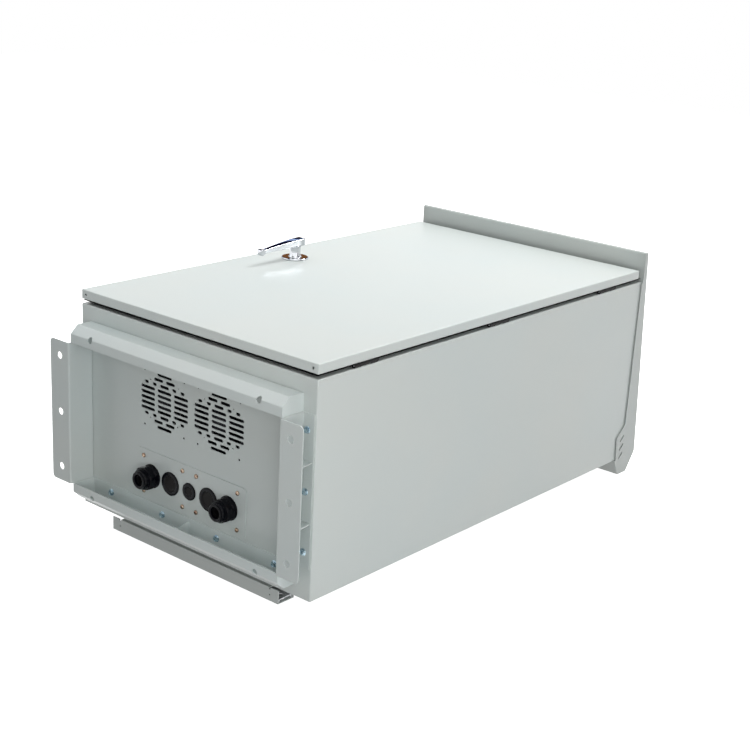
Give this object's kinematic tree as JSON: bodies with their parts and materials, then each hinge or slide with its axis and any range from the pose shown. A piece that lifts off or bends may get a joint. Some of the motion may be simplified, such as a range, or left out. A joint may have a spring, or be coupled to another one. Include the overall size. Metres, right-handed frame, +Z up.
{
  "type": "outdoor wall-mount rack cabinet",
  "caption": "Outdoor sheet-steel rack cabinet with rain hood, swing-handle door, plinth, cable glands, floor fans and wall rails.",
  "frame": {"origin": "centre of the base hole pattern, on the plane the plinth stands on", "axes": "+Z up, +X to the right seen from the front, the door faces -Y and the wall rails face +Y"},
  "size_m": [0.645, 0.5033, 1.1089],
  "materials": {
    "shell_paint": "light grey fine-texture powder coat, semi-matt",
    "plinth_paint": "light grey powder coat, semi-matt",
    "black_rubber": "black rubber, matt",
    "black_nylon": "black nylon, satin",
    "hinge_black": "black paint, satin",
    "chrome": "polished chrome plating",
    "blue_zinc": "clear blue zinc plating",
    "yellow_zinc": "yellow zinc plating",
    "zinc_sheet": "galvanised sheet, dull"
  },
  "bodies": {
    "cabinet": {"enclosure": "shell_paint", "roof_hood": "shell_paint", "hood_bolts": "blue_zinc", "hood_nuts": "blue_zinc", "hinge_body_knuckles": "hinge_black", "hinge_pins": "zinc_sheet", "plinth_bar_front": "plinth_paint", "plinth_bar_rear": "plinth_paint", "base_bracket_left": "plinth_paint", "base_bracket_right": "plinth_paint", "base_bolts": "blue_zinc", "base_nuts": "blue_zinc", "gland_plate": "shell_paint", "gland_plate_gasket": "black_rubber", "gland_plate_screws": "yellow_zinc", "gland_body_left": "black_nylon", "gland_body_right": "black_nylon", "gland_dome_left": "black_nylon", "gland_dome_right": "black_nylon", "gland_seals": "black_rubber", "gland_locknuts": "black_nylon", "grommet_left": "black_rubber", "grommet_centre": "black_rubber", "grommet_right": "black_rubber", "fan_frame_left": "black_nylon", "fan_frame_right": "black_nylon", "fan_screws": "black_nylon", "rack_rail_front_left": "zinc_sheet", "rack_rail_front_right": "zinc_sheet", "rack_rail_rear_left": "zinc_sheet", "rack_rail_rear_right": "zinc_sheet", "depth_bars_left": "zinc_sheet", "depth_bars_right": "zinc_sheet", "rack_bolts": "blue_zinc", "rack_nuts": "blue_zinc", "wall_rail_lower": "plinth_paint", "wall_rail_upper": "plinth_paint", "rail_stiffener_lower": "zinc_sheet", "rail_stiffener_upper": "zinc_sheet", "rail_spacers": "black_rubber", "rail_bolts": "blue_zinc", "rail_nuts": "blue_zinc"},
    "door": {"door_panel": "shell_paint", "door_gasket": "black_rubber", "door_stiffener_left": "shell_paint", "door_stiffener_right": "shell_paint", "hinge_door_knuckles": "hinge_black", "handle_rose": "chrome", "latch_housing": "zinc_sheet", "rod_guide_upper": "zinc_sheet", "rod_guide_lower": "zinc_sheet"},
    "handle": {"handle_lever": "chrome", "latch_cam": "zinc_sheet", "cam_screw": "blue_zinc"},
    "rod_upper": {"latch_rod_upper": "zinc_sheet"},
    "rod_lower": {"latch_rod_lower": "zinc_sheet"},
    "rotor_left": {"fan_rotor_left": "black_nylon"},
    "rotor_right": {"fan_rotor_right": "black_nylon"}
  },
  "joints": [
    {"name": "door_hinge", "type": "hinge", "parent": "cabinet", "child": "door", "pos_m": [0.2964, -0.2042, 0.554], "axis": [0, 0, 1], "range_deg": [0, 105]},
    {"name": "handle_turn", "type": "hinge", "parent": "door", "child": "handle", "pos_m": [-0.2246, -0.2266, 0.5474], "axis": [0, -1, 0], "range_deg": [0, 90]},
    {"name": "rod_upper_slide", "type": "slide", "parent": "door", "child": "rod_upper", "axis": [0, 0, 1], "range_m": [0, 0.0198]},
    {"name": "rod_lower_slide", "type": "slide", "parent": "door", "child": "rod_lower", "axis": [0, 0, -1], "range_m": [0, 0.0198]},
    {"name": "fan_left_spin", "type": "hinge", "parent": "cabinet", "child": "rotor_left", "pos_m": [-0.0705, -0.062, 0.07], "axis": [0, 0, 1], "continuous": true},
    {"name": "fan_right_spin", "type": "hinge", "parent": "cabinet", "child": "rotor_right", "pos_m": [0.0705, -0.062, 0.07], "axis": [0, 0, 1], "continuous": true}
  ],
  "couplings": [
    {"joint": "rod_upper_slide", "follows": "handle_turn", "m_per_rad": 0.0126},
    {"joint": "rod_lower_slide", "follows": "handle_turn", "m_per_rad": 0.0126}
  ]
}
